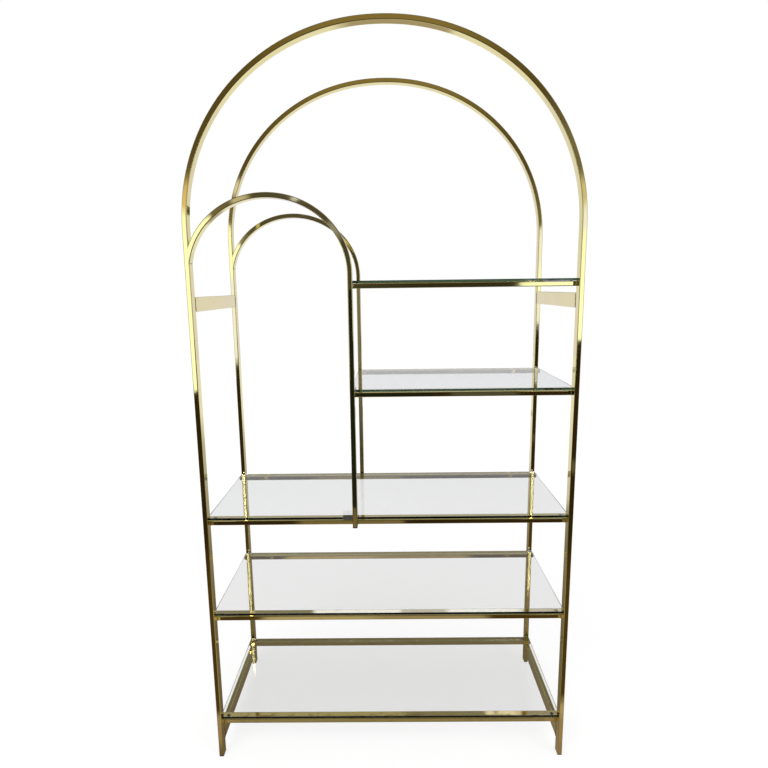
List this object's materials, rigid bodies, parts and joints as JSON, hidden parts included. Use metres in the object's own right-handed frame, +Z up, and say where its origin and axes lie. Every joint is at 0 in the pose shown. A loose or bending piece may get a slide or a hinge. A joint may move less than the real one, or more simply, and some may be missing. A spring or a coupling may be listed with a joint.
{
  "type": "etagere",
  "caption": "Tall open etagere of flat brass tube: a large arched frame, a smaller inner arch with a post on the left, and loose glass shelves on rails.",
  "frame": {"origin": "on the floor, under the middle of the etagere's width and depth", "axes": "+Z up, +X to the right seen from the front, +Y to the rear; the front faces -Y"},
  "size_m": [0.9906, 0.4254, 1.9558],
  "materials": {
    "brass": "mirror polished brass plate, lightly worn",
    "glass": "clear float glass with ground edges, green at the edge",
    "plug": "black moulded plastic",
    "pad": "clear soft bumper"
  },
  "bodies": {
    "root": {"front_arch_tube": "brass", "rear_arch_tube": "brass", "front_inner_arch_tube": "brass", "rear_inner_arch_tube": "brass", "rail_end_caps": "brass", "low_left_spreader": "brass", "low_right_spreader": "brass", "high_left_spreader": "brass", "high_right_spreader": "brass", "front_left_foot": "plug", "front_right_foot": "plug", "rear_left_foot": "plug", "rear_right_foot": "plug", "front_post_cap": "plug", "rear_post_cap": "plug", "bottom_front_rail": "brass", "bottom_rear_rail": "brass", "bottom_shelf_pads": "pad", "lower_front_rail": "brass", "lower_rear_rail": "brass", "lower_shelf_pads": "pad", "middle_front_rail": "brass", "middle_rear_rail": "brass", "middle_shelf_pads": "pad", "upper_front_rail": "brass", "upper_rear_rail": "brass", "upper_shelf_pads": "pad", "top_front_rail": "brass", "top_rear_rail": "brass", "top_shelf_pads": "pad"},
    "bottom_glass": {"bottom_glass_shelf": "glass"},
    "lower_glass": {"lower_glass_shelf": "glass"},
    "middle_glass": {"middle_glass_shelf": "glass"},
    "upper_glass": {"upper_glass_shelf": "glass"},
    "top_glass": {"top_glass_shelf": "glass"}
  },
  "joints": [
    {"name": "bottom_glass_slide", "type": "slide", "parent": "root", "child": "bottom_glass", "axis": [1, 0, 0], "range_m": [-1, 1]},
    {"name": "lower_glass_slide", "type": "slide", "parent": "root", "child": "lower_glass", "axis": [1, 0, 0], "range_m": [-1, 1]},
    {"name": "middle_glass_slide", "type": "slide", "parent": "root", "child": "middle_glass", "axis": [1, 0, 0], "range_m": [-1, 1]},
    {"name": "upper_glass_slide", "type": "slide", "parent": "root", "child": "upper_glass", "axis": [1, 0, 0], "range_m": [-1, 0.6]},
    {"name": "top_glass_slide", "type": "slide", "parent": "root", "child": "top_glass", "axis": [1, 0, 0], "range_m": [-1, 0.6]}
  ]
}
